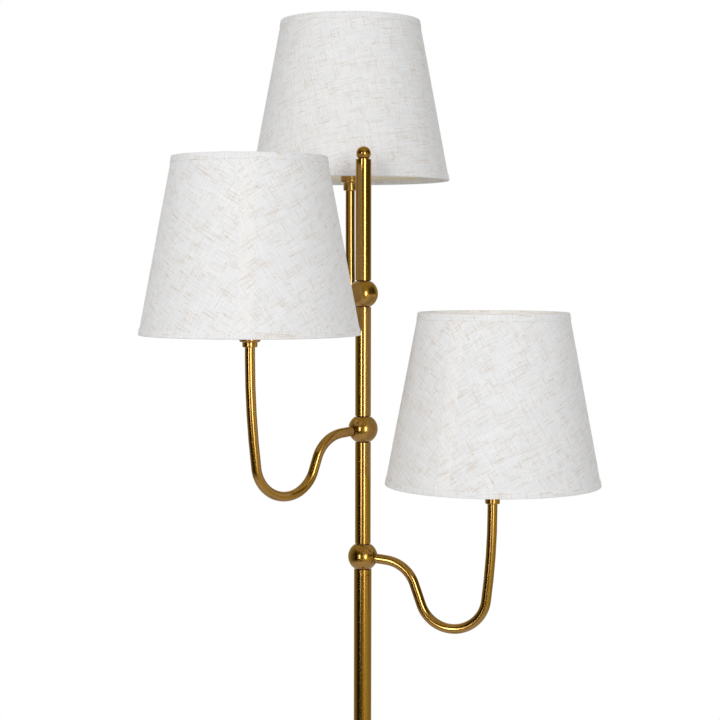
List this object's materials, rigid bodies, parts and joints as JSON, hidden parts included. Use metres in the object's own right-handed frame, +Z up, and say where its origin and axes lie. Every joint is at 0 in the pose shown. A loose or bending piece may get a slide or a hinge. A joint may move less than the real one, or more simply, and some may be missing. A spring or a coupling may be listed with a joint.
{
  "type": "tree floor lamp",
  "caption": "Tall brass floor lamp on a round weighted base, with swan-neck arms at staggered heights that swivel on balls and carry tapered linen shades.",
  "frame": {"origin": "middle of the floor pad's flat underside, on the pole's axis", "axes": "+Z up the pole; +X to the right and +Y away as the picture sees the lamp"},
  "size_m": [0.4539, 0.4264, 1.5386],
  "materials": {
    "brass": "brushed, darkened",
    "iron": "as cast",
    "felt": "matt foam pad",
    "steel": "zinc plated",
    "black_plastic": "moulded",
    "white_plastic": "moulded",
    "flex": "PVC sheath",
    "contact_brass": "bare",
    "nickel": "nickel plated",
    "opal_glass": "opal",
    "liner": "laminated sheet",
    "linen": "slubby plain weave",
    "white_wire": "white coated wire"
  },
  "bodies": {
    "stand": {"base_pad": "felt", "base_weight": "iron", "base_cover": "brass", "base_washer": "steel", "base_nut": "steel", "cord_inlet": "black_plastic", "terminal_block": "white_plastic", "foot_collar": "brass", "lower_stem": "brass", "stem_joint_ring": "brass", "upper_stem": "brass", "ferrule": "brass", "section_low": "brass", "section_mid": "brass", "section_top": "brass", "tube_plugs": "steel", "stem_nipples": "steel", "ball_nipples": "steel", "swivel_washers": "black_plastic", "pole_flex": "flex", "finial": "brass"},
    "arm_low": {"ball_low": "brass", "arm_tube_low": "brass", "arm_flex_low": "flex", "tube_collar_low": "brass", "cup_low": "brass", "holder_low": "black_plastic", "contacts_low": "contact_brass", "ring_nuts_low": "black_plastic", "bulb_cap_low": "nickel", "bulb_glass_low": "opal_glass", "shade_liner_low": "liner", "shade_cover_low": "linen", "shade_frame_low": "white_wire"},
    "arm_mid": {"ball_mid": "brass", "arm_tube_mid": "brass", "arm_flex_mid": "flex", "tube_collar_mid": "brass", "cup_mid": "brass", "holder_mid": "black_plastic", "contacts_mid": "contact_brass", "ring_nuts_mid": "black_plastic", "bulb_cap_mid": "nickel", "bulb_glass_mid": "opal_glass", "shade_liner_mid": "liner", "shade_cover_mid": "linen", "shade_frame_mid": "white_wire"},
    "arm_top": {"ball_top": "brass", "arm_tube_top": "brass", "arm_flex_top": "flex", "tube_collar_top": "brass", "cup_top": "brass", "holder_top": "black_plastic", "contacts_top": "contact_brass", "ring_nuts_top": "black_plastic", "bulb_cap_top": "nickel", "bulb_glass_top": "opal_glass", "shade_liner_top": "liner", "shade_cover_top": "linen", "shade_frame_top": "white_wire"}
  },
  "joints": [
    {"name": "arm_low_swivel", "type": "hinge", "parent": "stand", "child": "arm_low", "pos_m": [0, 0, 0.98], "axis": [0, 0, 1], "range_deg": [-15, 15]},
    {"name": "arm_mid_swivel", "type": "hinge", "parent": "stand", "child": "arm_mid", "pos_m": [0, 0, 1.1103], "axis": [0, 0, 1], "range_deg": [-15, 15]},
    {"name": "arm_top_swivel", "type": "hinge", "parent": "stand", "child": "arm_top", "pos_m": [0, 0, 1.2473], "axis": [0, 0, 1], "range_deg": [-15, 15]}
  ]
}
